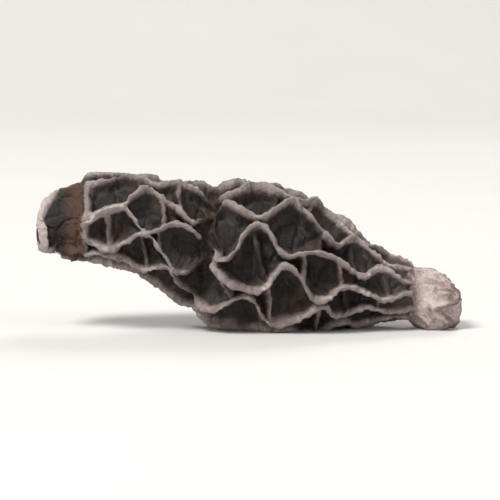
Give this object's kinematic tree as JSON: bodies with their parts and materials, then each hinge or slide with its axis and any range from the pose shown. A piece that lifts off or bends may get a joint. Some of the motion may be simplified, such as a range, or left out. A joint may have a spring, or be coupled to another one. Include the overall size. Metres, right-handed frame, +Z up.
{
  "type": "dried morel mushroom",
  "caption": "Whole dried morel mushroom lying on its side: a hollow cap with a net of raised ridges round deep pits, shrunk on a short pale cut stem.",
  "frame": {"origin": "centre of the bounding box on the surface that the mushroom lies on", "axes": "+X along the mushroom from the tip to the cut stem, -Y the side that the picture shows, +Z up"},
  "size_m": [0.039, 0.013, 0.0145],
  "materials": {
    "dried_skin": "dry, matt, dark brown in the pits and paler grey tan on the ridges, with a cream stem"
  },
  "bodies": {
    "root": {"morel": "dried_skin"}
  },
  "joints": []
}
